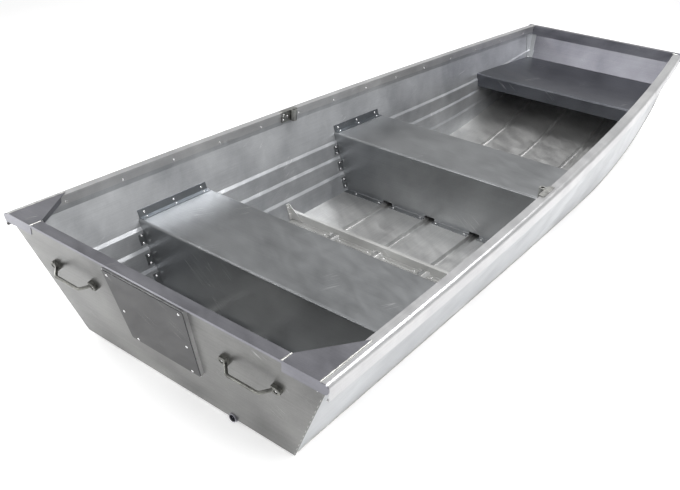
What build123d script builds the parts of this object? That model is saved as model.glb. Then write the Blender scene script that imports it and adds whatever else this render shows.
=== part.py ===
from build123d import *
from math import atan, cos, degrees, sin, sqrt, tan
import os

os.makedirs("parts", exist_ok=True)

# Open flat-bottomed aluminium boat. Millimetres, +X starboard, +Y forward, +Z up.
# The origin is on the ground under the middle of the overall length.
# "Distance" always means millimetres forward of the transom's top edge.

# Hull lines
length = 3040.0               # transom top to bow top
beam = 1170.0                 # over the gunwales at the transom
bow_taper = 183.0             # what each gunwale closes in by at the bow
bow_curve = 2.35              # power of that closing in
depth_aft = 381.0             # gunwale top above the floor at the transom
depth_bow = 414.0             # the same at the bow
sheer_curve = 3.0
bottom_width = 816.0          # over the chines at the transom
chine_taper = 62.0            # what each chine closes in by at the bow
chine_curve = 4.5
rake_start = 2000.0           # the bottom starts to rise here
rake_radius = 2770.0          # radius of the rising bottom
transom_rake = 96.0           # foot of the transom forward of its top
bow_rake = 90.0               # foot of the bow panel aft of the bow's top
sheet = 2.0                   # plating, benches and deck
weld_lip = 1.5                # bottom and bow panel stand this far past the sides
transom_lip = 4.0             # transom past the sides' mean line
fit = 0.3                     # clearance where pieces seat

# Pressed grooves of the bottom, which are the runners outside
groove_depth = 12.0
groove_width = 34.0
groove_foot = 20.0
groove_radius = 4.0
groove_pitch = 200.0
groove_aft = 210.0            # aft end
groove_bow = 2880.0           # forward end
groove_ramp = 16.0            # run-out at each end

# Pressed strakes of the sides, as a share of the height from chine to hem
strakes = (0.217, 0.411, 0.597)
strake_step = 4.5             # how far out each one steps
strake_share = 0.014          # half the height of the step, as a share
stations = (-40.0, 450.0, 950.0, 1450.0, 1950.0, 2350.0, 2700.0, 3080.0)
skirt = 30.0                  # plating below the chine before it is trimmed

# Gunwale extrusion, measured outboard and down from its top inner corner
rim_width = 36.0
rim_flat = 24.0
rim_shoulder = 12.0
rim_side = 42.0
rim_return = 7.0
rim_wall = 2.2
rim_step = 2.5                # the rivet flange is this much outboard
rim_box = 16.0                # depth of the thick inner part
rim_flange = 32.0
rim_sections = 8
hem = 50.0                    # upright top of the side sheets
sheet_tuck = 6.0              # top of the side sheets below the gunwale's top

# Caps and corner pieces
cap_fore = 29.0               # transom cap forward of the transom's top edge
cap_aft = 6.0                 # and aft of it
cap_lip = 4.0
cap_leg = 16.0
cap_wall = 2.5
bracket_along = 182.0         # along the gunwale
bracket_across = 93.0         # along the transom
bracket_lap = 12.0            # how far it lies over the gunwale
bracket_flange = 27.0
bracket_rib = 15.0            # depth of the flange along the slanting edge
bracket_wall = 2.5
bracket_tip = 14.0            # rounding of the gunwale's end plate, underneath
corner_leg = 24.0

# Transom fittings
pad_top = 302.0
pad_foot = 268.0
pad_height = 250.0
pad_thickness = 10.0
pad_corner = 7.0
pad_drop = 7.5                # top of the pad below the gunwale's top
plate_thickness = 2.0
plate_inset = 1.5
inner_plate_width = 300.0
inner_plate_height = 230.0
inner_plate_thickness = 5.0
inner_plate_corner = 20.0
inner_plate_drop = 30.0
drain_place = 202.0
drain_height = 5.0            # centre above the floor
drain_outer = 26.0
drain_bore = 20.0
drain_flange = 30.0
drain_flange_thickness = 2.5
drain_outside = 7.0
drain_inside = 24.0

# Carry handles
handle_span = 172.0           # between the lugs' bores
handle_root = 156.0           # between the ends of the rod, inside the lugs
handle_grip = 100.0
handle_reach = 38.0
handle_drop = 6.0
handle_rod = 9.5
handle_bend = 16.0
lug_width = 26.0
lug_inboard = 14.0            # from the bore to the side where the rod leaves
lug_thickness = 12.0
lug_edge = 2.5                # rounding of a lug's outer edge
lug_bore = 12.5               # sunk seat of its screw
lug_bore_depth = 5.0
stern_handle_place = 330.0
stern_handle_down = 124.0     # below the transom's top edge, along it
bow_handle_place = 215.0
bow_handle_down = 60.0        # below the bow panel's hem, along it

# Benches: distance of the aft riser, distance of the fore riser, height of the top
benches = {
    "aft": (393.0, 704.0, 227.0),
    "mid": (1404.0, 1712.0, 236.0),
}
bench_bend = 7.0
foot_bend = 3.0
bench_foot = 26.0
limber_width = 44.0
limber_height = 11.0
tab_reach = 24.0
tab_margin = 0.03             # tabs keep this share clear of the strakes
end_angle_leg = 24.0
end_angle_foot = 20.0

# Bow deck
deck_aft = 2501.0
deck_height = 254.0
deck_lip = 63.0
deck_angle_leg = 28.0
deck_angle_aft = 12.0         # the end angles start this far forward of the lip

# Floor rib between the benches
rib_place = 1048.0
rib_height = 34.0
rib_foot = 24.0
rib_top = 14.0
gusset_height = 62.0
gusset_width = 52.0
gusset_flange = 16.0

# Oarlock sockets
oarlock_place = 1165.0
oarlock_length = 84.0
oarlock_height = 38.0
oarlock_wall = 3.5
oarlock_lap = 15.0            # how far its top lies over the gunwale
oarlock_barrel = 24.0
oarlock_bore = 13.5
oarlock_rise = 5.0
oarlock_shift = 14.0          # barrel forward of the casting's middle
oarlock_bury = 3.0            # how far the barrel runs into the plate

# Sizes that follow from those above
transom_angle = atan(transom_rake / depth_aft)
plate_reach = (pad_thickness + plate_thickness) * cos(transom_angle)
plate_top = pad_drop / cos(transom_angle) + plate_inset
aft_reach = plate_reach - plate_top * sin(transom_angle)
floor = groove_depth + sheet  # upper face of the bottom sheet
room = beam                   # wider than anything, for trimming
sheet_seat = rim_step + rim_wall + fit


def along(distance):
    """Y of a place that many millimetres forward of the transom's top edge."""
    return distance - (length - aft_reach) / 2


def share(distance):
    """Share of the overall length."""
    return max(distance / length, 0)


def half_beam(distance):
    """Outer edge of the gunwale."""
    return beam / 2 - bow_taper * share(distance) ** bow_curve


def sheer(distance):
    """Top of the gunwale."""
    return floor + depth_aft + (depth_bow - depth_aft) * share(distance) ** sheer_curve


def chine(distance):
    """Outer face of the side at the floor."""
    return bottom_width / 2 - chine_taper * share(distance) ** chine_curve


def floor_height(distance):
    """Upper face of the bottom sheet."""
    run = max(distance - rake_start, 0)
    return floor + rake_radius - sqrt(rake_radius**2 - run**2)


def hem_face(distance):
    """Outer face of the side sheet's upright top."""
    return half_beam(distance) - rim_width + sheet_seat + sheet


def side_point(distance, part, outward=0):
    """A point of the side's outer face, at a share of the height from chine to hem."""
    low, high = floor_height(distance), sheer(distance) - hem
    x = chine(distance) + (hem_face(distance) - chine(distance)) * part + outward
    return x, low + (high - low) * part


def side_line(distance, inset, step=strake_step):
    """The side's outer face, moved inboard, from below the chine to above the rim."""
    foot_x, foot_z = side_point(distance, 0)
    points = []
    for place in strakes:
        points.append(side_point(distance, place - strake_share, -step / 2))
        points.append(side_point(distance, place + strake_share, step / 2))
    slope = (points[0][0] - foot_x) / (points[0][1] - foot_z)
    points.insert(0, (foot_x - skirt * slope, foot_z - skirt))
    points.append(side_point(distance, 1))
    points.append((hem_face(distance), sheer(distance) + hem))
    return [(x - inset, z) for x, z in points]


def hull_body(inset, step=strake_step):
    """Everything inside the side sheets' outer faces, moved inboard by inset."""
    with BuildPart(mode=Mode.PRIVATE) as body:
        for distance in stations:
            line = side_line(distance, inset, step)
            mirrored = [(-x, z) for x, z in reversed(line)]
            with BuildSketch(Plane.XZ.offset(-along(distance))):
                Polygon(*line, *mirrored, align=None)
        loft()
    return body.part


def side_skin(side, inset, thickness):
    """A skin that follows one side, from inset to inset plus thickness."""
    with BuildPart(mode=Mode.PRIVATE) as skin:
        for distance in stations:
            outer = side_line(distance, inset)
            inner = [(x - thickness, z) for x, z in reversed(outer)]
            with BuildSketch(Plane.XZ.offset(-along(distance))):
                Polygon(*[(side * x, z) for x, z in outer + inner], align=None)
        loft()
    return skin.part


def block(x0, x1, y0, y1, z0, z1):
    """A box between two corners."""
    with BuildPart(mode=Mode.PRIVATE) as box:
        with BuildSketch(Plane.XY.offset(min(z0, z1))):
            Polygon((x0, y0), (x1, y0), (x1, y1), (x0, y1), align=None)
        extrude(amount=abs(z1 - z0))
    return box.part


def across(points):
    """A prism right across the boat, from a section of (distance, height) points."""
    with BuildPart(mode=Mode.PRIVATE) as prism:
        with BuildSketch(Plane.YZ):
            Polygon(*[(along(d), z) for d, z in points], align=None)
        extrude(amount=room, both=True)
    return prism.part


def folded(points, radii):
    """A folded strip right across the boat, along a middle line of (distance, height)."""
    with BuildPart(mode=Mode.PRIVATE) as strip:
        with BuildSketch(Plane.YZ):
            with BuildLine():
                FilletPolyline(*[(along(d), z) for d, z in points], radius=radii)
            trace(line_width=sheet)
        extrude(amount=room, both=True)
    return strip.part


def side_patch(skin, d0, d1, z0, z1):
    """The stretch of a side skin between two distances and two heights."""
    with BuildPart(mode=Mode.PRIVATE) as patch:
        add(skin)
        add(block(-room, room, along(d0), along(d1), z0, z1), mode=Mode.INTERSECT)
    return patch.part


def under_line(depth):
    """Everything under the bottom sheet's upper face, lowered by depth."""
    with BuildPart(mode=Mode.PRIVATE) as under:
        with BuildSketch(Plane.YZ):
            with BuildLine():
                flat = Line((along(-skirt), floor - depth), (along(rake_start), floor - depth))
                rise = CenterArc(arc_centre, rake_radius + depth, -90, arc_turn)
                low = -rake_radius / 10
                Polyline(rise @ 1, ((rise @ 1).X, low), (along(-skirt), low), flat @ 0)
            make_face()
        extrude(amount=room, both=True)
    return under.part


def ahead_of_bow(depth):
    """Everything ahead of the bow panel's outer face, moved aft by depth."""
    shift = depth / cos(bow_angle)
    knee_rise = (shift - depth) / tan(bow_angle)
    low = bow_knee[1] + 2 * hem
    return across(
        [
            (bow_knee[0] - shift - low * tan(bow_angle), bow_knee[1] - low),
            (bow_knee[0] - depth, bow_knee[1] + knee_rise),
            (bow_knee[0] - depth, 2 * bow_knee[1]),
            (length + 2 * hem, 2 * bow_knee[1]),
            (length + 2 * hem, bow_knee[1] - low),
        ]
    )


def finish(builder, name):
    """Label a piece and write it."""
    builder.part.label = name
    export_step(builder.part, f"parts/{name}.step")


# The raked end of the bottom
arc_centre = (along(rake_start), floor + rake_radius)
arc_turn = degrees(atan((length + hem - rake_start) / rake_radius))

# The transom's outer face: local x starboard, local y up along it, normal outboard
transom_face = Plane(
    origin=(0, along(0), sheer(0)),
    x_dir=(1, 0, 0),
    z_dir=(0, -cos(transom_angle), -sin(transom_angle)),
)

# The bow panel's raked outer face, from its foot to the knee below its upright hem
bow_foot = (length - bow_rake, floor_height(length - bow_rake))
bow_knee = (length - rim_width + sheet_seat + sheet, sheer(length) - hem)
bow_angle = atan((bow_knee[0] - bow_foot[0]) / (bow_knee[1] - bow_foot[1]))
bow_face = Plane(
    origin=(0, along(bow_knee[0]), bow_knee[1]),
    x_dir=(-1, 0, 0),
    z_dir=(0, cos(bow_angle), -sin(bow_angle)),
)

# Bodies that trim the plating and what fits inside it
inside = hull_body(sheet + fit)
outside = hull_body(-weld_lip)
straight_sided = hull_body(-transom_lip, 0)
below_floor = under_line(0)
below_plating = under_line(sheet)
past_bow = ahead_of_bow(sheet)
past_bow_inside = ahead_of_bow(sheet + fit)
drain_centre = (drain_place, along(transom_rake), floor + drain_height)


def groove(place, grow):
    """One pressed groove, or with grow the runner that it makes outside."""
    top = groove_width / 2 + grow
    foot = groove_foot / 2 + grow
    deep = groove_depth + grow
    lean = atan(groove_ramp / groove_depth)
    tilt = atan((groove_bow - rake_start) / rake_radius)
    with BuildPart(mode=Mode.PRIVATE) as channel:
        with BuildLine(Plane.YZ.offset(place)) as path:
            run = Line((along(groove_aft - grow), floor), (along(rake_start), floor))
            CenterArc(arc_centre, rake_radius, -90, arc_turn)
        start = Plane(
            origin=(place, along(groove_aft - grow), floor), x_dir=(1, 0, 0), z_dir=(0, 1, 0)
        )
        with BuildSketch(start) as section:
            Polygon((-top, 0), (top, 0), (foot, deep), (-foot, deep), align=None)
            fillet(section.vertices().group_by(Axis.Y)[-1], groove_radius + grow)
        sweep(path=path.wires()[0])
        aft_end = Plane(
            origin=(0, along(groove_aft - grow), floor), z_dir=(0, cos(lean), sin(lean))
        )
        split(bisect_by=aft_end)
        bow_end = Plane(
            origin=(0, along(groove_bow + grow), floor_height(groove_bow + grow)),
            z_dir=(0, -cos(lean + tilt), sin(lean - tilt)),
        )
        split(bisect_by=bow_end)
    return channel.part


# Bottom sheet, raked up at the bow, with pressed grooves
runners = [groove(row * groove_pitch, sheet) for row in (-1, 0, 1)]
troughs = [groove(row * groove_pitch, 0) for row in (-1, 0, 1)]
with BuildPart() as bottom:
    add(below_floor)
    add(below_plating, mode=Mode.SUBTRACT)
    add(outside, mode=Mode.INTERSECT)
    add(runners)
    add(troughs, mode=Mode.SUBTRACT)
    split(bisect_by=transom_face.offset(-sheet), keep=Keep.BOTTOM)
    add(past_bow, mode=Mode.SUBTRACT)
    with Locations(drain_centre):
        Cylinder(
            drain_outer / 2 + fit, 2 * (drain_inside + fit), rotation=(90, 0, 0), mode=Mode.SUBTRACT
        )
finish(bottom, "bottom")


# Side sheets, with strakes pressed into them
sheet_top = [(d, sheer(d) - sheet_tuck) for d in (0, length / 2, length)]
with BuildPart() as above_sheet:
    with BuildSketch(Plane.YZ):
        with BuildLine():
            edge = ThreePointArc(*[(along(d), z) for d, z in sheet_top])
            Polyline(
                edge @ 1,
                (along(length + hem), (edge @ 1).Y),
                (along(length + hem), beam),
                (along(-hem), beam),
                (along(-hem), (edge @ 0).Y),
                edge @ 0,
            )
        make_face()
    extrude(amount=room, both=True)
cap_foot = sheer(length) - rim_side - fit
cap_room = block(-room, room, along(length - rim_width - fit), length, cap_foot, 2 * beam)
for name, side in (("port", -1), ("starboard", 1)):
    with BuildPart() as plating:
        add(side_skin(side, 0, sheet))
        add(below_floor, mode=Mode.SUBTRACT)
        add(past_bow, mode=Mode.SUBTRACT)
        add(above_sheet.part, mode=Mode.SUBTRACT)
        add(cap_room, mode=Mode.SUBTRACT)
        split(bisect_by=transom_face.offset(-sheet), keep=Keep.BOTTOM)
    finish(plating, f"side_{name}")


# Transom, notched at its upper corners round the gunwales
rim_inner = half_beam(0) - rim_width
transom_top = sheer(0)
notch_foot = sheer(0) - rim_side - rim_wall
with BuildPart() as transom:
    with BuildSketch(transom_face):
        Rectangle(beam, 2 * (depth_aft + skirt))
    extrude(amount=-sheet)
    add(straight_sided, mode=Mode.INTERSECT)
    add(block(-room, room, -length, 0, transom_top, 2 * beam), mode=Mode.SUBTRACT)
    add(block(-room, room, -length, 0, floor - sheet, -beam), mode=Mode.SUBTRACT)
    for side in (-1, 1):
        notch = sorted((side * (rim_inner - fit), side * room))
        add(block(*notch, -length, 0, notch_foot, 2 * beam), mode=Mode.SUBTRACT)
    with Locations(drain_centre):
        Cylinder(drain_outer / 2 + fit, 4 * drain_inside, rotation=(90, 0, 0), mode=Mode.SUBTRACT)
finish(transom, "transom")


# Bow panel, raked, with an upright hem that the bow cap grips
with BuildPart() as bow_panel:
    add(past_bow)
    add(ahead_of_bow(0), mode=Mode.SUBTRACT)
    add(outside, mode=Mode.INTERSECT)
    add(below_plating, mode=Mode.SUBTRACT)
    add(block(-room, room, 0, length, sheer(length) - sheet_tuck, 2 * beam), mode=Mode.SUBTRACT)
finish(bow_panel, "bow_panel")


def rim_profile(plane):
    """The gunwale extrusion's section: local x outboard, local y up."""
    inner_width = rim_width - rim_wall
    shoulder_centre = (rim_flat, -rim_shoulder)
    with BuildSketch(plane, mode=Mode.PRIVATE) as section:
        with BuildLine():
            Polyline(
                (rim_step + rim_wall, -rim_flange),
                (rim_step, -rim_flange),
                (rim_step, -rim_box),
                (0, -rim_box),
                (0, 0),
                (rim_flat, 0),
            )
            EllipticalCenterArc(
                shoulder_centre, rim_width - rim_flat, rim_shoulder, 0, arc_size=90
            )
            Polyline(
                (rim_width, -rim_shoulder),
                (rim_width, -rim_side),
                (rim_width - rim_return, -rim_side),
                (rim_width - rim_return, -rim_side + rim_wall),
                (inner_width, -rim_side + rim_wall),
                (inner_width, -rim_shoulder),
            )
            EllipticalCenterArc(
                shoulder_centre, inner_width - rim_flat, rim_shoulder - rim_wall, 0, arc_size=90
            )
            Polyline(
                (rim_flat, -rim_wall),
                (rim_step + rim_wall, -rim_wall),
                (rim_step + rim_wall, -rim_flange),
            )
        make_face()
    return section.sketch


# Gunwales, closed in towards the bow and following the sheer
rim_aft = -cap_aft + bracket_wall + fit
rim_fore = length - rim_width - fit
for name, side in (("port", -1), ("starboard", 1)):
    sections = []
    for step in range(rim_sections):
        distance = rim_aft + (rim_fore - rim_aft) * step / (rim_sections - 1)
        corner = (side * (half_beam(distance) - rim_width), along(distance), sheer(distance))
        sections.append(rim_profile(Plane(origin=corner, x_dir=(side, 0, 0), z_dir=(0, -side, 0))))
    with BuildPart() as gunwale:
        loft(sections)
    finish(gunwale, f"gunwale_{name}")


# Bow cap: the same extrusion turned across the bow
with BuildPart() as bow_cap:
    corner = (-half_beam(length), along(length - rim_width), sheer(length))
    section = rim_profile(Plane(origin=corner, x_dir=(0, 1, 0), z_dir=(1, 0, 0)))
    extrude(section, amount=2 * half_beam(length))
finish(bow_cap, "bow_cap")


# Transom cap: a folded strip over the transom's top edge
lean = tan(transom_angle)
cap_under = sheer(0) + fit
cap_top = cap_under + cap_wall
cap_half = rim_inner - bracket_across - fit
leg_aft = sheet / cos(transom_angle) + fit + lean * cap_leg
with BuildPart() as transom_cap:
    with BuildSketch(Plane.YZ):
        Polygon(
            (along(-cap_aft), cap_top),
            (along(-cap_aft), cap_under - cap_lip),
            (along(-cap_aft + cap_wall), cap_under - cap_lip),
            (along(-cap_aft + cap_wall), cap_under),
            (along(leg_aft), cap_under),
            (along(leg_aft), cap_under - cap_leg),
            (along(leg_aft + cap_wall), cap_under - cap_leg),
            (along(leg_aft + cap_wall), cap_under),
            (along(cap_fore), cap_under),
            (along(cap_fore), cap_top),
            align=None,
        )
    extrude(amount=cap_half, both=True)
finish(transom_cap, "transom_cap")


# Stern corner brackets: a triangular plate that laps the gunwale, with a flange along
# the transom, a rib along its slanting edge and a rounded end plate for the gunwale
under = sheer(0) + fit
flange_low = under - bracket_flange
for name, side in (("port", -1), ("starboard", 1)):
    tip = rim_inner - bracket_across
    edge_aft = rim_inner + bracket_lap
    edge_fore = half_beam(bracket_along) - rim_width + bracket_lap
    aft_edge, aft_inner = along(-cap_aft), along(-cap_aft + bracket_wall)
    plan = [
        (side * tip, aft_edge),
        (side * edge_aft, aft_edge),
        (side * edge_fore, along(bracket_along)),
        (side * tip, along(cap_fore)),
    ]
    slant = Vector(*plan[2]) - Vector(*plan[3])
    outward = slant.normalized().rotate(Axis.Z, -90 * side) * bracket_wall
    slanting = [Vector(*plan[3]) + slant * 0.1, Vector(*plan[3]) + slant * 0.8]
    slanting += [slanting[1] + outward, slanting[0] + outward]
    with BuildPart() as bracket:
        with BuildSketch(Plane.XY.offset(under)):
            Polygon(*plan, align=None)
        extrude(amount=bracket_wall)
        with BuildSketch(Plane.XY.offset(under)):
            Polygon(*[(corner.X, corner.Y) for corner in slanting], align=None)
        extrude(amount=-bracket_rib)
        with BuildSketch(Plane.XZ.offset(-aft_inner)) as end_plate:
            with BuildLine():
                crown = side * (rim_inner + rim_flat)
                outer = side * (rim_inner + rim_width)
                Line((side * tip, under), (crown, under))
                EllipticalCenterArc(
                    (crown, under - rim_shoulder),
                    rim_width - rim_flat,
                    rim_shoulder,
                    45 - 45 * side,
                    arc_size=90,
                )
                Polyline(
                    (outer, under - rim_shoulder),
                    (outer, flange_low),
                    (side * tip, flange_low),
                    (side * tip, under),
                )
            make_face()
            lowest = end_plate.vertices().group_by(Axis.Y)[0].sort_by(Axis.X)
            fillet(lowest[-1] if side > 0 else lowest[0], bracket_tip)
        extrude(amount=bracket_wall)
    finish(bracket, f"stern_corner_{name}")


# Skins that the flanges, tabs and angles inside are cut from
leg_skin = {side: side_skin(side, sheet + fit, sheet) for side in (-1, 1)}
foot_skin = {side: side_skin(side, sheet + fit, end_angle_foot) for side in (-1, 1)}
middle = sheet / 2


# Bow corner angles, upright in the corners between the sides and the bow panel
angle_aft = length - rim_width - 2 * corner_leg
angle_foot = floor + deck_height + fit
angle_top = sheer(angle_aft) - rim_side - fit
ahead = ahead_of_bow(sheet + fit)
behind = ahead_of_bow(2 * sheet + fit)
for name, side in (("port", -1), ("starboard", 1)):
    skin, wide_skin = leg_skin[side], side_skin(side, sheet + fit, corner_leg)
    leg = side_patch(skin, angle_aft, length, angle_foot, angle_top)
    width = side_patch(wide_skin, angle_aft, length, angle_foot, angle_top)
    with BuildPart() as corner_angle:
        add(behind)
        add(ahead, mode=Mode.SUBTRACT)
        add(width, mode=Mode.INTERSECT)
        add(leg)
        add(ahead, mode=Mode.SUBTRACT)
    finish(corner_angle, f"bow_corner_{name}")


# Motor pad, and the wear plate on it
def pad_outline(inset):
    """The pad's outline on the transom, tapered downwards."""
    high = -pad_drop / cos(transom_angle) - inset
    low = high - pad_height + 2 * inset
    top, foot = pad_top / 2 - inset, pad_foot / 2 - inset
    Polygon((-foot, low), (foot, low), (top, high), (-top, high), align=None)


with BuildPart() as motor_pad:
    with BuildSketch(transom_face) as outline:
        pad_outline(0)
        fillet(outline.vertices().group_by(Axis.Y)[0], pad_corner)
    extrude(amount=pad_thickness)
finish(motor_pad, "motor_pad")

with BuildPart() as motor_plate:
    with BuildSketch(transom_face.offset(pad_thickness)) as outline:
        pad_outline(plate_inset)
        fillet(outline.vertices(), pad_corner - plate_inset)
    extrude(amount=plate_thickness)
finish(motor_plate, "motor_plate")

with BuildPart() as inner_plate:
    with BuildSketch(transom_face.offset(-sheet)):
        with Locations((0, -inner_plate_drop - inner_plate_height / 2)):
            RectangleRounded(inner_plate_width, inner_plate_height, inner_plate_corner)
    extrude(amount=-inner_plate_thickness)
finish(inner_plate, "transom_inner_plate")


# Drain tube through the foot of the transom
with BuildPart() as drain:
    bore_face = Plane(origin=drain_centre, x_dir=(1, 0, 0), z_dir=(0, -1, 0))
    with BuildSketch(bore_face.offset(-drain_inside)):
        Circle(drain_outer / 2)
    extrude(amount=drain_inside + drain_outside)
    foot_down = (sheer(0) - drain_centre[2]) / cos(transom_angle)
    with BuildSketch(transom_face):
        with Locations((drain_place, -foot_down)):
            Circle(drain_flange / 2)
    extrude(amount=drain_flange_thickness)
    with BuildSketch(bore_face.offset(-drain_inside)):
        Circle(drain_bore / 2)
    extrude(amount=2 * drain_inside + drain_outside, mode=Mode.SUBTRACT)
finish(drain, "drain_tube")


def carry_handle(face, place, down, name):
    """A cast bail handle: two bored lugs and a bent rod, on a face."""
    seat = Plane(
        origin=face.from_local_coords(Vector(place, -down, 0)), x_dir=face.x_dir, z_dir=face.z_dir
    )
    out = (seat.z_dir * handle_reach - seat.y_dir * handle_drop).normalized()
    bail = Plane(origin=seat.origin, x_dir=seat.x_dir, z_dir=seat.x_dir.cross(out))
    reach = handle_reach - handle_rod / 2
    root = lug_thickness / 2
    bores = ((-handle_span / 2, 0), (handle_span / 2, 0))
    with BuildPart() as handle:
        with BuildSketch(seat):
            with Locations(bores):
                Circle(lug_width / 2)
            with Locations(*[(x * (1 - lug_inboard / handle_span), 0) for x, _ in bores]):
                Rectangle(lug_inboard, lug_width)
        extrude(amount=lug_thickness)
        outer_faces = handle.faces().sort_by(Axis(seat.origin, seat.z_dir))[-2:]
        fillet(outer_faces.edges(), lug_edge)
        with BuildLine(bail) as path:
            FilletPolyline(
                (-handle_root / 2, root),
                (-handle_grip / 2, reach),
                (handle_grip / 2, reach),
                (handle_root / 2, root),
                radius=handle_bend,
            )
        with BuildSketch(Plane(origin=path.wires()[0] @ 0, z_dir=path.wires()[0] % 0)):
            Circle(handle_rod / 2)
        sweep(path=path.wires()[0])
        with BuildSketch(seat.offset(lug_thickness)):
            with Locations(bores):
                Circle(lug_bore / 2)
        extrude(amount=-lug_bore_depth, mode=Mode.SUBTRACT)
    finish(handle, name)


for name, side in (("port", -1), ("starboard", 1)):
    carry_handle(transom_face, side * stern_handle_place, stern_handle_down, f"stern_handle_{name}")
    carry_handle(bow_face, -side * bow_handle_place, bow_handle_down, f"bow_handle_{name}")


def limber(d0, d1):
    """Drain gaps over the grooves, from one distance to another."""
    gaps = []
    for row in (-1, 0, 1):
        centre = row * groove_pitch
        left, right = centre - limber_width / 2, centre + limber_width / 2
        gaps.append(block(left, right, along(d0), along(d1), floor - sheet, floor + limber_height))
    return gaps


# Benches: folded boxes, tabbed to the sides between the strakes
for bench_name, (aft, fore, height) in benches.items():
    low, high = floor + middle, floor + height - middle
    shape = folded(
        [
            (aft - bench_foot, low),
            (aft + middle, low),
            (aft + middle, high),
            (fore - middle, high),
            (fore - middle, low),
            (fore + bench_foot, low),
        ],
        [foot_bend, bench_bend, bench_bend, foot_bend],
    )
    tabs = []
    for side in (-1, 1):
        for d0, d1 in ((aft - tab_reach, aft + sheet), (fore - sheet, fore + tab_reach)):
            for below, above in zip((0.0,) + strakes, strakes):
                z0 = side_point(aft, below + strake_share + tab_margin)[1]
                z1 = side_point(aft, above - strake_share - tab_margin)[1]
                tabs.append(side_patch(leg_skin[side], d0, d1, z0, z1))
    gaps = limber(aft - 2 * bench_foot, fore + 2 * bench_foot)
    with BuildPart() as bench:
        add(shape)
        add(inside, mode=Mode.INTERSECT)
        add(gaps, mode=Mode.SUBTRACT)
        add(tabs)
    finish(bench, f"bench_{bench_name}")

    for name, side in (("port", -1), ("starboard", 1)):
        d0, d1 = aft + bench_bend, fore - bench_bend
        top = floor + height
        upright = side_patch(leg_skin[side], d0, d1, top, top + end_angle_leg)
        foot = side_patch(foot_skin[side], d0, d1, top, top + sheet)
        with BuildPart() as end_angle:
            add(upright)
            add(foot)
        finish(end_angle, f"bench_{bench_name}_angle_{name}")


# Bow deck, with a deep lip at its aft edge
deck_top = floor + deck_height
shape = folded(
    [
        (deck_aft + middle, deck_top - deck_lip),
        (deck_aft + middle, deck_top - middle),
        (length + hem, deck_top - middle),
    ],
    [bench_bend],
)
with BuildPart() as deck:
    add(shape)
    add(inside, mode=Mode.INTERSECT)
    add(past_bow_inside, mode=Mode.SUBTRACT)
finish(deck, "bow_deck")

for name, side in (("port", -1), ("starboard", 1)):
    d0, d1 = deck_aft + deck_angle_aft, length - bow_rake
    top = deck_top - sheet
    upright = side_patch(leg_skin[side], d0, d1, top - deck_angle_leg, top)
    foot = side_patch(foot_skin[side], d0, d1, top - sheet, top)
    with BuildPart() as deck_angle:
        add(upright)
        add(foot)
    finish(deck_angle, f"deck_angle_{name}")


# Floor rib, a folded strip with a foot and a stiffening top
low, high = floor + middle, floor + rib_height - middle
shape = folded(
    [(rib_place - rib_foot, low), (rib_place, low), (rib_place, high), (rib_place + rib_top, high)],
    [foot_bend, foot_bend],
)
gaps = limber(rib_place - 2 * rib_foot, rib_place + 2 * rib_foot)
with BuildPart() as rib:
    add(shape)
    add(inside, mode=Mode.INTERSECT)
    add(gaps, mode=Mode.SUBTRACT)
finish(rib, "floor_rib")

# Gussets that tie the rib's ends to the sides
web_face = rib_place - middle - fit
gusset_low = floor + sheet + foot_bend
for name, side in (("port", -1), ("starboard", 1)):
    wall = chine(rib_place)
    flange = side_patch(
        leg_skin[side], web_face - gusset_flange, web_face, gusset_low, floor + gusset_height
    )
    with BuildPart() as gusset:
        with BuildSketch(Plane.XZ.offset(-along(web_face))):
            Polygon(
                (side * (wall - gusset_width), gusset_low),
                (side * (wall + gusset_width), gusset_low),
                (side * (wall + gusset_width), floor + gusset_height),
                (side * (wall + gusset_height / 4), floor + gusset_height),
                align=None,
            )
        extrude(amount=sheet)
        add(inside, mode=Mode.INTERSECT)
        add(flange)
    finish(gusset, f"rib_gusset_{name}")


# Oarlock sockets: an angled casting on the gunwale with an upright barrel inboard
turn = bow_taper * bow_curve / length * share(oarlock_place) ** (bow_curve - 1)
for name, side in (("port", -1), ("starboard", 1)):
    seat = Plane(
        origin=(side * (half_beam(oarlock_place) - rim_width), along(oarlock_place), sheer(oarlock_place)),
        x_dir=(side, turn, 0),
        z_dir=(0, 0, 1),
    )
    plate_left = -fit - oarlock_wall
    barrel = (plate_left - oarlock_barrel / 2 + oarlock_bury, side * oarlock_shift)
    with BuildPart() as oarlock:
        with BuildSketch(seat.offset(fit)):
            with Locations(((plate_left + oarlock_lap) / 2, 0)):
                Rectangle(oarlock_lap - plate_left, oarlock_length)
        extrude(amount=oarlock_wall)
        with BuildSketch(seat.offset(-oarlock_height)):
            with Locations((plate_left + oarlock_wall / 2, 0)):
                Rectangle(oarlock_wall, oarlock_length)
        extrude(amount=oarlock_height + fit + oarlock_wall)
        with BuildSketch(seat.offset(-oarlock_height)):
            with Locations(barrel):
                Circle(oarlock_barrel / 2)
        extrude(amount=oarlock_height + oarlock_rise)
        with BuildSketch(seat.offset(-oarlock_height)):
            with Locations(barrel):
                Circle(oarlock_bore / 2)
        extrude(amount=oarlock_height + oarlock_rise, mode=Mode.SUBTRACT)
    finish(oarlock, f"oarlock_{name}")
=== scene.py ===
# %% [markdown]
# # A jon boat in bare aluminium
# The real boat is folded, pressed, riveted and welded from thin aluminium sheet. Its
# sheets, extrusions and castings come ready from the CAD frame, so this lesson gives
# them their finishes and adds what the fitter adds last: rivets, screws and welds.
# Everything is in metres, +X to starboard, +Y to the bow and +Z up.

import bpy
import numpy as np
from mathutils import Matrix, Vector
from mathutils.bvhtree import BVHTree


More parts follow.
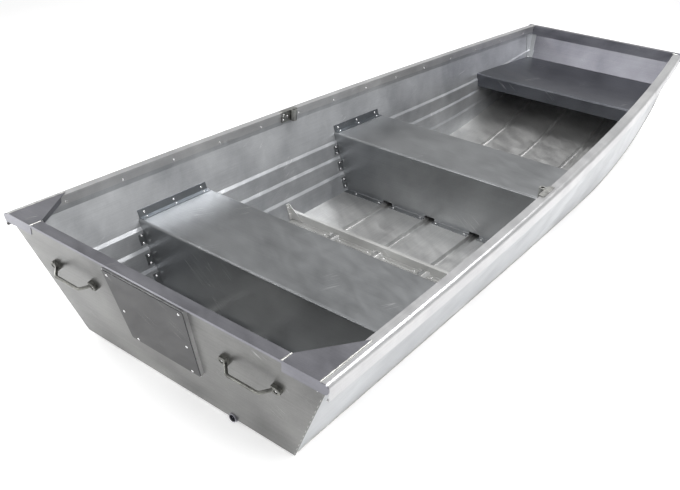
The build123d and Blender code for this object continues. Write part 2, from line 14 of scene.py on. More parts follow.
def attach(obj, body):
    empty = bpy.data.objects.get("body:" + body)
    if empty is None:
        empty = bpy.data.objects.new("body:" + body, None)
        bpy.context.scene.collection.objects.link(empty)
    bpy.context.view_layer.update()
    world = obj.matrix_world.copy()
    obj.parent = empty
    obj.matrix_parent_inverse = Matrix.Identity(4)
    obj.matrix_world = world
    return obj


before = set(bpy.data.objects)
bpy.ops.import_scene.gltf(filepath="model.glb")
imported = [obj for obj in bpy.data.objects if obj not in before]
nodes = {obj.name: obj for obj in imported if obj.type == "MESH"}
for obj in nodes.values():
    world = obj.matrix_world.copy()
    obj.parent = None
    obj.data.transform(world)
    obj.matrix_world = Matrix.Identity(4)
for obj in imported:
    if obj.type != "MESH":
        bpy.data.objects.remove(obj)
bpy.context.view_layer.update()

# %% [markdown]
# ## The hull's lines
# Rivets and welds follow the sheets, so the lines that shaped the hull are needed
# here too. Each is a short formula of one number, the distance forward of the
# transom's top edge. Repeating the formulas is safer than copying points, because
# they stay smooth however closely they are sampled.

# %% The hull's lines
# metres, as in the CAD: length of the gunwales, height of the floor's upper face
LENGTH, FLOOR = 3.040, 0.014
# half the beam, what the bow closes in by, and the power of that closing in
HALF_BEAM, BOW_TAPER, BOW_CURVE = 0.585, 0.183, 2.35
# gunwale's height over the floor at the transom, and what the bow adds to it
DEPTH, BOW_RISE = 0.381, 0.033
# the same three as for the beam, at the chine
HALF_BOTTOM, CHINE_TAPER, CHINE_CURVE = 0.408, 0.062, 4.5
# where the bottom starts to rise, the radius it rises on, how far the transom's foot
# stands forward of its top
RAKE_START, RAKE_RADIUS, TRANSOM_RAKE = 2.0, 2.77, 0.096
# width of the gunwale, height of the side's upright hem, and how far the hem's outer
# face is from the gunwale's inner edge
RIM_WIDTH, HEM, HEM_FACE = 0.036, 0.050, 0.007
# how far the motor plate reaches aft of the transom's top edge
AFT_REACH = 0.00938
# heights of the strakes, as shares of the way from chine to hem
STRAKES = (0.217, 0.411, 0.597)
LEAN = np.arctan(TRANSOM_RAKE / DEPTH)


def along(d):
    """Y of a place d metres forward of the transom's top edge."""
    return d - (LENGTH - AFT_REACH) / 2


def half_beam(d):
    """Outer edge of the gunwale: the half beam less a taper that grows as a power of d."""
    return HALF_BEAM - BOW_TAPER * np.clip(d / LENGTH, 0, None) ** BOW_CURVE


def sheer(d):
    """Top of the gunwale: flat aft, rising with the cube of d."""
    return FLOOR + DEPTH + BOW_RISE * (d / LENGTH) ** 3


def chine(d):
    """Outer face of the side at the floor."""
    return HALF_BOTTOM - CHINE_TAPER * np.clip(d / LENGTH, 0, None) ** CHINE_CURVE


def floor_height(d):
    """Upper face of the bottom: flat, then an arc of one radius."""
    run = np.clip(d - RAKE_START, 0, None)
    return FLOOR + RAKE_RADIUS - np.sqrt(RAKE_RADIUS**2 - run**2)


def side_height(d, part):
    """Height of a place on the side, as a share of the way from chine to hem."""
    return floor_height(d) + (sheer(d) - HEM - floor_height(d)) * part


def side_face(d, part):
    """Outer face of the side there, on the mean line that its strakes step about."""
    hem_face = half_beam(d) - RIM_WIDTH + HEM_FACE
    return chine(d) + (hem_face - chine(d)) * part


print(f"beam {2 * half_beam(0):.3f} m, sheer {sheer(0):.3f} to {sheer(LENGTH):.3f} m")

# %% [markdown]
# ## Nodes and colours
# A material here is a small graph of shader nodes. One function adds any node, sets
# its options and joins its inputs, so a graph reads like a list of steps. Colours are
# written as the hex values a painter would pick on a screen, which are sRGB, and are
# turned to the linear values that the renderer works in.


# %% Nodes and colours
def linear(code):
    """sRGB hex to linear: v/12.92 below 0.04045, else ((v + 0.055)/1.055) to the 2.4."""
    v = np.array([int(code[i : i + 2], 16) for i in (1, 3, 5)]) / 255
    return (*np.where(v <= 0.04045, v / 12.92, ((v + 0.055) / 1.055) ** 2.4), 1.0)


def put(tree, kind, inputs=None, **options):
    """Add one node: options are its settings, inputs its values or other nodes' outputs."""
    node = tree.nodes.new("ShaderNode" + kind)
    for key, value in options.items():
        setattr(node, key, value)
    for key, value in (inputs or {}).items():
        if isinstance(value, bpy.types.NodeSocket):
            tree.links.new(value, node.inputs[key])
        else:
            node.inputs[key].default_value = value
    return node.outputs


def new_material(name):
    """An empty material and its node tree."""
    material = bpy.data.materials.new(name)
    material.use_nodes = True
    material.node_tree.nodes.clear()
    return material, material.node_tree


print(f"#808080 on the screen is {linear('#808080')[0]:.3f} of white light")

# %% [markdown]
# ## Bare aluminium
# Mill-finish sheet is never one grey. The rolls leave fine lines one way, the oxide
# blooms in soft clouds, hands and cloths leave smudges that are rougher than the rest,
# and loose swarf leaves hair scratches. So each finish mixes a darker and a lighter
# tone by four noises of real size: a cloud, a smear, the rolling grain, stretched along
# the sheet, and a fine grit. The smear also varies the roughness, and grain and grit
# raise a slight relief. Scratches are the thin contour lines of a slow noise, kept only
# in places. All of them are noises in the solid's own space, so they hold from every
# side and need no unwrapping.


# %% Noises of bare metal
# grit on real sheet is under 1 mm; 6 mm is what still shows in the render
GRIT = 0.006
# patches of scratches, one scratch across, along and up, and how it is turned
PATCH, HAIR, HAIR_TURN = 0.13, (0.014, 0.5, 0.4), 0.9


def cube(size):
    """The same size in x, y and z."""
    return (size, size, size)


def metal_noises(tree, grain, cloud):
    """Noise = value at (place turned, then divided by its size in metres), by name."""
    place = put(tree, "TexCoord")["Object"]
    noises = {}
    for label, size, turn, detail, swirl in (
        ("cloud", cube(cloud), 0.0, 2.0, 0.3),
        ("smear", (cloud / 2, cloud / 6, cloud / 4), 0.5, 2.0, 0.5),
        ("grain", grain, 0.0, 2.0, 0.0),
        ("grit", cube(GRIT), 0.0, 2.0, 0.0),
        ("hair", HAIR, HAIR_TURN, 1.0, 0.0),
        ("patch", cube(PATCH), 0.0, 1.0, 0.0),
    ):
        scale = tuple(1 / s for s in size)
        turned = put(tree, "Mapping", {"Vector": place, "Rotation": (turn, turn / 2, turn)})[0]
        scaled = put(tree, "Mapping", {"Vector": turned, "Scale": scale})[0]
        inputs = {"Vector": scaled, "Scale": 1.0, "Detail": detail, "Distortion": swirl}
        noises[label] = put(tree, "TexNoise", inputs)["Fac"]
    return noises


def weigh(tree, noises, weights):
    """Sum of each named noise times its weight."""
    total = 0.0
    for label, weight in weights:
        step = {0: noises[label], 1: weight, 2: total}
        total = put(tree, "Math", step, operation="MULTIPLY_ADD")[0]
    return total


print(f"grit of {GRIT * 1000:.0f} mm, scratches in patches of {PATCH * 1000:.0f} mm")

# %% Scratches
# a real hair scratch is 0.1 mm wide, and these are drawn about 0.5 mm wide to show
# half width of a scratch in its noise, where its patches begin and are full, its white
HAIR_WIDTH, PATCH_EDGE, PATCH_FULL, HAIR_WHITE = 0.012, 0.63, 0.68, 0.3


def scratches(tree, noises):
    """1 on the contour where the hair noise is 0.5, 0 at HAIR_WIDTH from it, kept in patches."""
    contour = put(tree, "Math", {0: noises["hair"], 1: 0.5}, operation="SUBTRACT")[0]
    contour = put(tree, "Math", {0: contour}, operation="ABSOLUTE")[0]
    line = put(tree, "MapRange", {0: contour, 1: 0.0, 2: HAIR_WIDTH, 3: 1.0, 4: 0.0})[0]
    patch = {0: noises["patch"], 1: PATCH_EDGE, 2: PATCH_FULL, 3: 0.0, 4: HAIR_WHITE}
    patch = put(tree, "MapRange", patch)[0]
    return put(tree, "Math", {0: line, 1: patch}, operation="MULTIPLY")[0]


print(f"scratches {HAIR_WHITE:.0%} white at most")

# %% A bare metal
WHITE = (1.0, 1.0, 1.0, 1.0)
TONE_WEIGHTS = (("cloud", 0.6), ("smear", 0.18), ("grain", 0.14), ("grit", 0.08))
RELIEF_WEIGHTS = (("grain", 0.6), ("grit", 0.4))
# a noise rarely leaves its middle, so tone and wear are stretched from these values
TONE_RANGE, WEAR_RANGE = (0.3, 0.7), (0.25, 0.75)


def metal(name, dark, light, rough, grain, cloud=0.24, relief=0.00005, metallic=1.0):
    """A bare metal. Tone = dark to light by cloud, smear, grain and grit; sizes in metres.

    rough is the lowest and highest roughness, grain the size of one rolling line in x,
    y and z, and relief the height of the bump.
    """
    material, tree = new_material(name)
    noises = metal_noises(tree, grain, cloud)
    tone = weigh(tree, noises, TONE_WEIGHTS)
    spread = {0: tone, 1: TONE_RANGE[0], 2: TONE_RANGE[1], 3: 0.0, 4: 1.0}
    spread = put(tree, "MapRange", spread)[0]
    both = {0: spread, 6: linear(dark), 7: linear(light)}
    colour = put(tree, "Mix", both, data_type="RGBA")[2]
    scratched = {0: scratches(tree, noises), 6: colour, 7: WHITE}
    colour = put(tree, "Mix", scratched, data_type="RGBA")[2]
    wear = {0: noises["smear"], 1: WEAR_RANGE[0], 2: WEAR_RANGE[1], 3: rough[0], 4: rough[1]}
    roughness = put(tree, "MapRange", wear)[0]
    height = weigh(tree, noises, RELIEF_WEIGHTS)
    normal = put(tree, "Bump", {"Height": height, "Distance": relief, "Strength": 1.0})[0]
    shader = put(
        tree,
        "BsdfPrincipled",
        {"Base Color": colour, "Metallic": metallic, "Roughness": roughness, "Normal": normal},
    )[0]
    put(tree, "OutputMaterial", {"Surface": shader})
    return material


# %% [markdown]
# ## The stock
# The boat is all aluminium, but each kind of stock comes with its own skin. Each row
# below names one, says what its making gives the eye, and gives its darker and lighter
# tone, its roughness from and to, and its grain. Oxide makes bare aluminium part matt,
# so some rows are less than fully metallic. No large surface is smoother than 0.28:
# where the roughness crossed about 0.27, thin dark loops stood in the render, most
# likely because its denoiser takes a smoother metal for a mirror.

# %% The stock
# one rolling line is about 0.2 mm wide on real sheet; 3 mm is what still shows here
LENGTHWISE = (0.003, 0.5, 0.003)
CROSSWISE = (0.5, 0.003, 0.003)
GRANULAR = (0.003, 0.003, 0.003)
# four rows paint shade into a darker grey: the stern's and the bow's sheet, the deck's satin and
# the handles' casting
stock = {
    # rolled sheet: bright, with soft grey clouds and lines that run along the hull
    "mill_sheet_bottom": dict(
        dark="#acacac", light="#ececea", rough=(0.28, 0.42), grain=LENGTHWISE, metallic=0.8
    ),
    # rolled sheet on the sides: the same lines, a cooler grey and an even bloom
    "mill_sheet_side": dict(
        dark="#989a9e", light="#ced0d2", rough=(0.28, 0.4), grain=LENGTHWISE, metallic=0.7
    ),
    # sheet rolled across the boat: its deep grey is a painted reflection of the shaded ground it
    # faces, with strong clouds
    "stern_sheet_painted_shade": dict(
        dark="#5a5a5a", light="#9a9a98", rough=(0.28, 0.38), grain=CROSSWISE
    ),
    # the same at the bow, paler and cooler: its grey, darker than the hull's sheet, is painted
    # shade
    "bow_sheet_painted_shade": dict(
        dark="#74747c", light="#acacb4", rough=(0.28, 0.4), grain=CROSSWISE
    ),
    # press-folded strip: pale and matt
    "folded_rib": dict(
        dark="#c2c2c0", light="#dededc", rough=(0.3, 0.4), grain=CROSSWISE, metallic=0.6
    ),
    # folded angle: darker and cooler than the sheet it is riveted to
    "folded_angle": dict(
        dark="#6e7276", light="#8a8e92", rough=(0.28, 0.38), grain=LENGTHWISE
    ),
    # satin sheet: an even grey sheen, the calmest surface on the boat
    "satin_sheet": dict(
        dark="#8c8e90", light="#aeb0b2", rough=(0.28, 0.38), grain=CROSSWISE
    ),
    # the same satin sheet in a deeper grey: a painted reflection of the dark studio that the
    # deck's top mirrors
    "satin_painted_shade": dict(
        dark="#606268", light="#787a80", rough=(0.28, 0.38), grain=CROSSWISE
    ),
    # extruded section: bright lines along its length, from the die
    "extruded_rim": dict(
        dark="#b0b0b2", light="#d8d8d8", rough=(0.28, 0.4), grain=LENGTHWISE, metallic=0.75
    ),
    # extruded section set across the boat: greyer, with soft clouds
    "extruded_cap": dict(
        dark="#74747a", light="#9c9ca2", rough=(0.28, 0.42), grain=CROSSWISE
    ),
    # tumbled sand casting: a fine pebbled skin with bright crests
    "tumbled_casting": dict(
        dark="#7c7c7a", light="#c8c8c4", rough=(0.28, 0.44), grain=GRANULAR,
        cloud=0.03, relief=0.0006
    ),
    # the same casting, mottled, in a dark grey that is painted shade: the shadows and dark
    # reflections on the handles' lugs
    "casting_painted_shade": dict(
        dark="#4c4c4a", light="#94948f", rough=(0.28, 0.42), grain=GRANULAR,
        cloud=0.03, relief=0.0006
    ),
    # rivet head, burnished by the tool that sets it: a small bright glint
    "bright_rivet": dict(
        dark="#d8d8d8", light="#f6f6f6", rough=(0.14, 0.26), grain=GRANULAR, cloud=0.01
    ),
    # frozen weld pool: white and rippled
    "weld_metal": dict(
        dark="#b4b4b0", light="#f0f0ec", rough=(0.28, 0.42), grain=GRANULAR,
        cloud=0.012, relief=0.0006
    ),
    # sheet under a thin dark coat: nearly black, with a soft sheen
    "dark_plate": dict(
        dark="#3e3e3f", light="#4c4c4d", rough=(0.34, 0.46), grain=CROSSWISE, metallic=0.6
    ),
}
finishes = {name: metal(name, **made) for name, made in stock.items()}
print("finishes:", ", ".join(finishes))

# %% [markdown]
# ## Finish of each CAD node
# Each solid gets the finish of the stock it was cut from. Rolled sheet runs along the
# hull, while the benches and the two ends were cut across, so their lines turn too.

# %% Finish of each CAD node
# the stern's and the bow's sheet, the deck's satin and the handles' casting carry painted shade
# in their grey
worn = {
    "mill_sheet_bottom": ["bottom"],
    "folded_rib": ["floor_rib", "rib_gusset_port", "rib_gusset_starboard"],
    "folded_angle": ["bench_aft_angle_port", "bench_aft_angle_starboard",
                     "bench_mid_angle_port", "bench_mid_angle_starboard"],
    "mill_sheet_side": ["side_port", "side_starboard", "deck_angle_port", "deck_angle_starboard",
                        "bow_corner_port", "bow_corner_starboard"],
    "stern_sheet_painted_shade": ["transom"],
    "bow_sheet_painted_shade": ["bow_panel", "bow_cap"],
    "satin_painted_shade": ["bow_deck"],
    "satin_sheet": ["bench_aft", "bench_mid", "transom_inner_plate"],
    "extruded_rim": ["gunwale_port", "gunwale_starboard", "motor_pad"],
    "extruded_cap": ["transom_cap", "drain_tube", "stern_corner_port", "stern_corner_starboard"],
    "tumbled_casting": ["oarlock_port", "oarlock_starboard"],
    "casting_painted_shade": ["stern_handle_port", "stern_handle_starboard", "bow_handle_port",
                     "bow_handle_starboard"],
    "dark_plate": ["motor_plate"],
}
for finish, names in worn.items():
    for name in names:
        nodes[name].data.materials.clear()
        nodes[name].data.materials.append(finishes[finish])
left = sorted(set(nodes) - {n for names in worn.values() for n in names})
print("nodes with no finish:", left)

# %% [markdown]
# ## Making small parts
# A rivet is a body turned about an axis, so its profile is written once as radius and
# height and swept round in one array. One rivet is then stamped at every place by
# turning the same array to each face's normal. A BVH tree, which finds where a line
# meets the solids, seats each one on the metal it really sits on.


# %% Turned parts
def skin(rings, sides):
    """Faces of a row of rings: quads from each to the next, and a fan at each end.

    The fans meet in two poles, the points after the last ring.
    """
    k, j = np.meshgrid(np.arange(rings - 1), np.arange(sides), indexing="ij")
    low, high, turn = k * sides, (k + 1) * sides, (j + 1) % sides
    quads = np.stack([low + j, low + turn, high + turn, high + j], 2).reshape(-1, 4)
    j = np.arange(sides)
    turn, last = (j + 1) % sides, (rings - 1) * sides
    foot = np.stack([turn, j, np.full(sides, rings * sides)], 1)
    crown = np.stack([last + j, last + turn, np.full(sides, rings * sides + 1)], 1)
    return quads, np.vstack([foot, crown])


def lathe(profile, segments=10):
    """A body of revolution: point (r, z) at angle a lies at (r cos a, r sin a, z).

    The first and last profile points are on the axis, so both poles are closed.
    """
    rings = np.array(profile[1:-1])
    angle = np.arange(segments) * 2 * np.pi / segments
    ring = np.stack([np.cos(angle), np.sin(angle)], 1)
    body = np.concatenate(
        [np.broadcast_to(ring, (len(rings), segments, 2)) * rings[:, None, :1],
         np.broadcast_to(rings[:, None, 1:], (len(rings), segments, 1))], 2
    ).reshape(-1, 3)
    points = np.vstack([body, [0, 0, profile[0][1]], [0, 0, profile[-1][1]]])
    return points, *skin(len(rings), segments)


# %% Pieces that ride on the hull
def dress(name, points, faces, finish, smooth=True):
    """Put an array of points and faces into a mesh that rides on the hull."""
    mesh = bpy.data.meshes.new(name)
    mesh.from_pydata(points, [], [face for group in faces for face in group.tolist()])
    mesh.polygons.foreach_set("use_smooth", np.full(len(mesh.polygons), smooth))
    mesh.materials.append(finishes[finish])
    piece = bpy.data.objects.new(name, mesh)
    bpy.context.scene.collection.objects.link(piece)
    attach(piece, "root")
    print(f"{name}: {len(points)} points, {len(mesh.polygons)} faces")
    return piece


def stamp(name, template, places, finish="bright_rivet"):
    """Copy a template to each (point, normal): its z axis turns to the normal."""
    points, quads, triangles = template
    spots = np.array([place for place, _ in places])
    normals = np.array([normal for _, normal in places])
    helper = np.where(np.abs(normals[:, 1:2]) < 0.9, [0.0, 1.0, 0.0], [1.0, 0.0, 0.0])
    x = np.cross(helper, normals)
    x /= np.linalg.norm(x, axis=1, keepdims=True)
    y = np.cross(normals, x)
    turned = np.einsum("vi,pij->pvj", points, np.stack([x, y, normals], 1))
    shift = (np.arange(len(spots)) * len(points))[:, None, None]
    faces = [(quads + shift).reshape(-1, 4), (triangles + shift).reshape(-1, 3)]
    return dress(name, (turned + spots[:, None]).reshape(-1, 3), faces, finish)


# %% Landing on a solid
trees = {}


def land(node, start, direction):
    """Where a straight line from start first meets a node, and the normal facing back."""
    if node not in trees:
        mesh = nodes[node].data
        points = [v.co for v in mesh.vertices]
        trees[node] = BVHTree.FromPolygons(points, [p.vertices[:] for p in mesh.polygons])
    place, normal, _, _ = trees[node].ray_cast(Vector(start), Vector(direction).normalized())
    if place is None:
        raise ValueError(f"a line from {tuple(start)} towards {direction} misses {node}")
    return place, normal if normal.dot(Vector(direction)) < 0 else -normal


print(f"floor found at {land('bottom', (0.1, 0.0, 0.3), (0, 0, -1))[0].z:.4f} m")

# %% [markdown]
# ## Rivets
# The fitter sets blind rivets: a flat domed head of about 9 mm with a dimple where the
# mandrel broke off. They stand in rows along the gunwale's inner flange, on the tabs
# and feet of the benches, on the end angles, and along the floor rib. A bump in the
# finish could stand in for them, but only a real dome catches the light and throws a
# shadow. All heads on one part make one piece, so that the boat stays easy to handle.

# %% Rivet heads
MM = 0.001
# radius and height in millimetres, from the buried foot over the dome to the dimple
blind = np.array(
    [(0, -0.5), (4.6, -0.5), (4.6, 0.3), (4.0, 1.1), (2.7, 1.7), (1.5, 1.9), (1.1, 1.2), (0, 1.1)]
) * MM
blind_rivet = lathe(blind.tolist())
print(f"rivet head {2 * blind[:, 0].max() / MM:.1f} mm across")

# %% Gunwale rivets
GUNWALE_FIRST, GUNWALE_PITCH, GUNWALE_END = 0.173, 0.2105, 0.1
FLANGE_MIDDLE = 0.024  # below the gunwale's top
SIDES = {"port": -1, "starboard": 1}
places = []
for side, sign in SIDES.items():
    for d in np.arange(GUNWALE_FIRST, LENGTH - GUNWALE_END, GUNWALE_PITCH):
        start = (0, along(d), sheer(d) - FLANGE_MIDDLE)
        places.append(land(f"gunwale_{side}", start, (sign, 0, 0)))
stamp("gunwale_rivets", blind_rivet, places)

# %% Bench rivets
# distance of the aft riser and of the fore one, height of the seat over the floor
BENCHES = {"aft": (0.393, 0.704, 0.227), "mid": (1.404, 1.712, 0.236)}
# how far the tabs and feet stand out from the risers, and shares of a tab's height
TAB_REACH, FOOT_REACH, TAB_RIVETS = 0.024, 0.026, (0.3, 0.7)
# end angles: rivets up from the seat and in from the side, and their margin at the ends
ANGLE_UP, ANGLE_IN, ANGLE_END = 0.013, 0.011, 0.03
# a landing line starts this far over the metal, or this far out from the centreline
OVER, INSIDE = 0.03, 0.3
FOOT_RIVETS = (-0.352, -0.236, -0.164, -0.036, 0.036, 0.164, 0.236, 0.352)
for bench, (aft, fore, height) in BENCHES.items():
    places = []
    for edge, away in ((aft, -1), (fore, 1)):
        d = edge + away * TAB_REACH / 2
        for x in FOOT_RIVETS:
            start = (x, along(edge + away * FOOT_REACH / 2), FLOOR + OVER)
            places.append(land(f"bench_{bench}", start, (0, 0, -1)))
        for sign in SIDES.values():
            for low, high in zip((0.0,) + STRAKES, STRAKES):
                for part in TAB_RIVETS:
                    z = side_height(aft, low + (high - low) * part)
                    start = (sign * INSIDE, along(d), z)
                    places.append(land(f"bench_{bench}", start, (sign, 0, 0)))
    for side, sign in SIDES.items():
        for d in np.linspace(aft + ANGLE_END, fore - ANGLE_END, 3):
            top = FLOOR + height
            angle = f"bench_{bench}_angle_{side}"
            places.append(land(angle, (0, along(d), top + ANGLE_UP), (sign, 0, 0)))
            x = places[-1][0][0] - sign * ANGLE_IN
            places.append(land(angle, (x, along(d), top + OVER), (0, 0, -1)))
    stamp(f"bench_{bench}_rivets", blind_rivet, places)

# %% Floor rib and gusset rivets
# the rib's place, its rivets aft of that, and those of the gussets, aft and up
RIB, RIB_AFT, GUSSET_AFT, GUSSET_UP = 1.048, 0.024 * 0.6, 0.009, (0.024, 0.048)
places = [
    land("floor_rib", (x, along(RIB - RIB_AFT), FLOOR + OVER), (0, 0, -1))
    for x in FOOT_RIVETS[1:-1]
]
for side, sign in SIDES.items():
    for z in GUSSET_UP:
        start = (sign * INSIDE, along(RIB - GUSSET_AFT), FLOOR + z)
        places.append(land(f"rib_gusset_{side}", start, (sign, 0, 0)))
stamp("floor_rib_rivets", blind_rivet, places)

# %% Oarlock rivets
OARLOCK = 1.165
# forward of the casting's middle, and below the gunwale's top
OARLOCK_RIVETS = ((-0.034, 0.008), (-0.034, 0.028), (-0.012, 0.018), (0.036, 0.018))
places = []
for side, sign in SIDES.items():
    for shift, drop in OARLOCK_RIVETS:
        start = (0, along(OARLOCK + shift), sheer(OARLOCK) - drop)
        places.append(land(f"oarlock_{side}", start, (sign, 0, 0)))
stamp("oarlock_rivets", blind_rivet, places)

# %% [markdown]
# ## Screws
# The handles and the motor plate are held by screws with a low head and a driver
# recess. They are turned like the rivets, from profiles of their own. They stand square
# to the raked ends, so each end gets its own axes: starboard, up along the sheet, and
# outward.

# %% Screw heads
# the same columns as the rivet's
pan = np.array(
    [(0, -0.4), (5.0, -0.4), (5.0, 1.2), (4.2, 2.5), (2.4, 3.0), (1.9, 1.5), (0, 1.3)]
) * MM
pan_screw = lathe(pan.tolist(), 12)
flat = np.array(
    [(0, -0.4), (4.2, -0.4), (4.2, 0.5), (3.4, 1.1), (1.6, 1.3), (1.3, 0.5), (0, 0.4)]
) * MM
flat_screw = lathe(flat.tolist(), 10)
print(f"screw heads {2 * pan[:, 0].max() / MM:.1f} and {2 * flat[:, 0].max() / MM:.1f} mm across")

# %% Axes of the raked ends
# the bow panel's knee and its foot, as distance and height
BOW_RAKE = 0.090
KNEE = (LENGTH - RIM_WIDTH + HEM_FACE, sheer(LENGTH) - HEM)
FOOT = (LENGTH - BOW_RAKE, floor_height(LENGTH - BOW_RAKE))
BOW_LEAN = np.arctan((KNEE[0] - FOOT[0]) / (KNEE[1] - FOOT[1]))
ends = {
    # origin, up along the sheet, outward
    "stern": (
        np.array([0, along(0), sheer(0)]),
        np.array([0, -np.sin(LEAN), np.cos(LEAN)]),
        np.array([0, -np.cos(LEAN), -np.sin(LEAN)]),
    ),
    "bow": (
        np.array([0, along(KNEE[0]), KNEE[1]]),
        np.array([0, np.sin(BOW_LEAN), np.cos(BOW_LEAN)]),
        np.array([0, np.cos(BOW_LEAN), -np.sin(BOW_LEAN)]),
    ),
}


def on_end(node, end, x, down, away=0.08):
    """A place on a node at one end: origin + x to starboard - down along the sheet."""
    origin, up, out = ends[end]
    return land(node, origin + (x, 0, 0) - down * up + away * out, -out)


print(f"transom leans {np.degrees(LEAN):.1f} degrees, bow panel {np.degrees(BOW_LEAN):.1f}")

# %% Handle and motor plate screws
# end, the handle's middle out from the centreline and down, and its lugs from the middle
HANDLES, LUG = (("stern", 0.330, 0.124), ("bow", 0.215, 0.060)), 0.086
# out from the centreline, and down
PLATE_SCREWS = ((0.133, 0.023), (0.119, 0.147), (0.105, 0.249))
places = [
    on_end(f"{end}_handle_{side}", end, sign * middle + away * LUG, down)
    for end, middle, down in HANDLES
    for side, sign in SIDES.items()
    for away in (-1, 1)
]
stamp("handle_screws", pan_screw, places)
places = [
    on_end("motor_plate", "stern", sign * x, down)
    for x, down in PLATE_SCREWS
    for sign in SIDES.values()
]
stamp("motor_plate_screws", flat_screw, places)

# %% [markdown]
# ## Welds
# The hull's outer seams are welded. A bead is a string of frozen ripples, one for each
# dip of the rod, so it is a thin tube along the seam whose radius swells and shrinks
# every few millimetres and wanders slowly with the welder's hand. A row of balls would
# show gaps between them, while one tube follows any seam and stays closed.


# %% Weld beads
RIPPLE, WANDER, SLOW = 0.16, 0.12, 6.7


def bead(path, radius=0.0022, pitch=0.0045, sides=8):
    """A tube along a path, closed at both ends.

    At distance s its radius is radius times
    1 + RIPPLE cos(2 pi s / pitch) + WANDER sin(2 pi s / (SLOW pitch)).
    """
    path = np.array(path, float)
    gone = np.concatenate([[0], np.cumsum(np.linalg.norm(np.diff(path, axis=0), axis=1))])
    s = np.linspace(0, gone[-1], max(4, int(gone[-1] / pitch * 4)))
    line = np.stack([np.interp(s, gone, path[:, i]) for i in range(3)], 1)
    ahead = np.gradient(line, axis=0)
    ahead /= np.linalg.norm(ahead, axis=1, keepdims=True)
    across = np.cross(ahead, [0.31, 0.17, 0.94])
    across /= np.linalg.norm(across, axis=1, keepdims=True)
    above = np.cross(across, ahead)
    phase = 2 * np.pi * s / pitch
    swell = 1 + RIPPLE * np.cos(phase) + WANDER * np.sin(phase / SLOW)
    a = np.arange(sides) * 2 * np.pi / sides
    spoke = np.cos(a)[None, :, None] * across[:, None] + np.sin(a)[None, :, None] * above[:, None]
    body = (line[:, None] + radius * swell[:, None, None] * spoke).reshape(-1, 3)
    points = np.vstack([body, line[0], line[-1]])
    return points, *skin(len(s), sides)


def weld(name, paths, slot="plating", **sizes):
    """Several beads in one piece."""
    points, quads, triangles, count = [], [], [], 0
    for path in paths:
        p, q, t = bead(path, **sizes)
        points.append(p)
        quads.append(q + count)
        triangles.append(t + count)
        count += len(p)
    faces = [np.vstack(quads), np.vstack(triangles)]
    return dress(name, np.vstack(points), faces, "weld_metal")


print(f"a bead of 100 mm has {len(bead([(0, 0, 0), (0, 0.1, 0)])[0])} points")

# %% Chine and corner welds
# the seams follow the sheets' edges; what is added, at most 3 mm, sets a bead's axis
# just outside the metal, so that half of it shows
chine_seams, corner_seams, bow_seams = [], [], []
for sign in SIDES.values():
    d = np.linspace(0.105, LENGTH - 0.095, 120)
    x, z = sign * (chine(d) + 0.0006), floor_height(d) + 0.0004
    chine_seams.append(np.stack([x, along(d), z], 1))
    part = np.linspace(0.01, 0.99, 40)
    z = side_height(0.0, part)
    d = (sheer(0) - z) * np.tan(LEAN) + 0.0028
    corner_seams.append(np.stack([sign * (side_face(d, part) + 0.0008), along(d), z], 1))
    z = FOOT[1] + (KNEE[1] - FOOT[1]) * part
    d = FOOT[0] + (KNEE[0] - FOOT[0]) * part - 0.0026
    bow_seams.append(np.stack([sign * (side_face(d, part) + 0.0004), along(d), z], 1))
weld("chine_welds", chine_seams, radius=0.0017)
weld("stern_corner_welds", corner_seams, radius=0.0026)
weld("bow_corner_welds", bow_seams, radius=0.0019)

# %% Rim welds
TOP = sheer(0)
# the bracket's edge in from the beam, and where it starts and ends along the boat
BRACKET_EDGE, BRACKET_RUN = 0.0238, (-0.005, 0.180)
# the stern cap's end, the length of its seam, and the bow cap's seam in from the beam
CAP_END, CAP_RUN, BOW_CAP_RUN = 0.4558, (-0.0055, 0.0285), (0.035, 0.013)
rim_seams, cap_seams = [], []
for sign in SIDES.values():
    d = np.linspace(*BRACKET_RUN, 20)
    x, z = sign * (half_beam(d) - BRACKET_EDGE), np.full(20, TOP + 0.0008)
    rim_seams.append(np.stack([x, along(d), z], 1))
    d = np.linspace(*CAP_RUN, 12)
    x, z = np.full(12, sign * CAP_END), np.full(12, TOP + 0.0026)
    cap_seams.append(np.stack([x, along(d), z], 1))
    x = sign * np.linspace(*[half_beam(LENGTH) - inward for inward in BOW_CAP_RUN], 12)
    d = np.full(12, LENGTH - RIM_WIDTH)
    cap_seams.append(np.stack([x, along(d), sheer(d) - 0.0004], 1))
weld("bracket_welds", rim_seams, slot="extrusion", radius=0.0024, pitch=0.005)
weld("cap_welds", cap_seams, slot="extrusion", radius=0.0022, pitch=0.005)

# %% [markdown]
# ## Studio
# The photograph shows the boat on plain white with almost no shadow. The floor is white
# to the camera and in reflections, but gives only soft light, so the bare metal isn't
# washed out. Bare metal shows little but what stands round it, so the sky that it
# reflects has the bands of a real studio: white at the horizon, a grey wall, a paler
# strip above it, grey again, and a bright ceiling. The level sheets, seen from behind
# the stern, mirror the grey, and that is what makes them darker than the upright ones.

# %% Floor
GLOW, REACH, BELOW = 0.35, 30.0, 0.0004


def seeing(tree):
    """1 for camera, glossy and transmission rays, which see the studio; 0 for the rest."""
    path, rays = put(tree, "LightPath"), 0.0
    for kind in ("Camera", "Glossy", "Transmission"):
        both = {0: path[f"Is {kind} Ray"], 1: rays}
        rays = put(tree, "Math", both, operation="MAXIMUM")[0]
    return rays


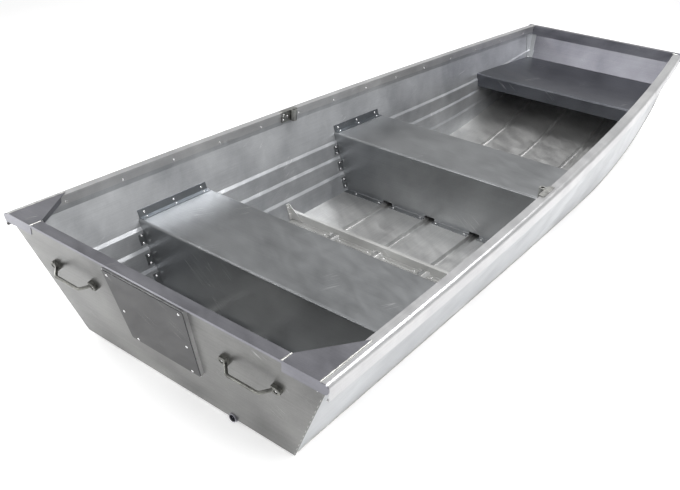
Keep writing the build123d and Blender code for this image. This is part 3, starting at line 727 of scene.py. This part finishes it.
material, tree = new_material("studio_floor")
rays = seeing(tree)
glow = put(tree, "Math", {0: rays, 1: GLOW}, operation="MULTIPLY")[0]
matt = put(tree, "BsdfDiffuse", {"Color": linear("#f2f2f2")})[0]
lit = put(tree, "Emission", {"Strength": glow})[0]
put(tree, "OutputMaterial", {"Surface": put(tree, "AddShader", {0: matt, 1: lit})[0]})
corners = [(-REACH, -REACH, 0), (REACH, -REACH, 0), (REACH, REACH, 0), (-REACH, REACH, 0)]
mesh = bpy.data.meshes.new("studio_floor")
mesh.from_pydata(corners, [], [(0, 1, 2, 3)])
mesh.materials.append(material)
floor = bpy.data.objects.new("studio_floor", mesh)
floor.location.z = -BELOW  # just under the runners, so that the two faces don't mix
bpy.context.scene.collection.objects.link(floor)
print("floor laid at", floor.location.z)

# %% Sky
SOFT = 0.55  # strength for the rays that only light
# sine of the height above the horizon at which a change starts and ends, and the change
BANDS = ((0.0, 0.1, -0.64), (0.16, 0.24, 0.34), (0.37, 0.45, -0.34), (0.54, 0.74, 0.44))
world = bpy.data.worlds.new("studio_sky")
world.use_nodes = True
bpy.context.scene.world = world
tree = world.node_tree
tree.nodes.clear()
rays = seeing(tree)
upward = put(tree, "SeparateXYZ", {0: put(tree, "TexCoord")["Generated"]})["Z"]
sky = 1.0
for start, end, change in BANDS:
    step = put(tree, "MapRange", {0: upward, 1: start, 2: end, 3: 0.0, 4: change})[0]
    sky = put(tree, "Math", {0: step, 1: sky}, operation="ADD")[0]
shown = put(tree, "Background", {"Color": WHITE, "Strength": sky})[0]
soft = put(tree, "Background", {"Color": WHITE, "Strength": SOFT})[0]
put(tree, "OutputWorld", {"Surface": put(tree, "MixShader", {0: rays, 1: soft, 2: shown})[0]})
print(f"sky of {len(BANDS)} changes")


# %% Lamps
def lamp(name, place, aim, size, power):
    """A square soft box at a place, turned to face a point."""
    data = bpy.data.lights.new(name, "AREA")
    data.shape, data.size, data.energy = "SQUARE", size, power
    light = bpy.data.objects.new(name, data)
    light.location = place
    light.rotation_euler = (Vector(aim) - Vector(place)).to_track_quat("-Z", "Y").to_euler()
    bpy.context.scene.collection.objects.link(light)
    print(f"{name}: {power} W, {size} m across")


# position, what it faces, metres across, watts
lamp("key_box", (2.6, -1.6, 3.2), (0.0, 0.2, 0.2), 2.2, 80)
lamp("fill_box", (-2.9, -1.5, 1.1), (0.5, 0.0, 0.2), 1.6, 60)
lamp("stern_box", (-1.2, -3.6, 1.2), (0.0, 0.0, 0.2), 1.0, 15)
lamp("bow_box", (0.7, 1.5, 3.4), (0.0, 0.8, 0.0), 1.2, 75)

# %% [markdown]
# ## Camera
# The viewpoint was worked out from the hull's own straight lines in the photograph:
# behind and above the starboard quarter, looking 30 degrees down, rolled 2.5 degrees.

# %% Camera
EYE = (1.3143, -2.5035, 1.4350)
YAW, PITCH, ROLL = np.radians([36.144, -29.877, 2.54])
forward = np.array([-np.sin(YAW) * np.cos(PITCH), np.cos(YAW) * np.cos(PITCH), np.sin(PITCH)])
level = np.array([np.cos(YAW), np.sin(YAW), 0.0])
upright = np.cross(level, forward)
right = np.cos(ROLL) * level + np.sin(ROLL) * upright
up = -np.sin(ROLL) * level + np.cos(ROLL) * upright
lens = bpy.data.cameras.new("photo_camera")
lens.sensor_width, lens.lens, lens.sensor_fit = 36.0, 40.81, "HORIZONTAL"
lens.clip_start, lens.clip_end = 0.05, 200.0
camera = bpy.data.objects.new("photo_camera", lens)
camera.matrix_world = Matrix(
    [(*row, place) for row, place in zip(np.stack([right, up, -forward], 1).tolist(), EYE)]
    + [(0, 0, 0, 1)]
)
bpy.context.scene.collection.objects.link(camera)
bpy.context.scene.camera = camera
bpy.context.scene.view_settings.view_transform = "Standard"
print("camera at", EYE)
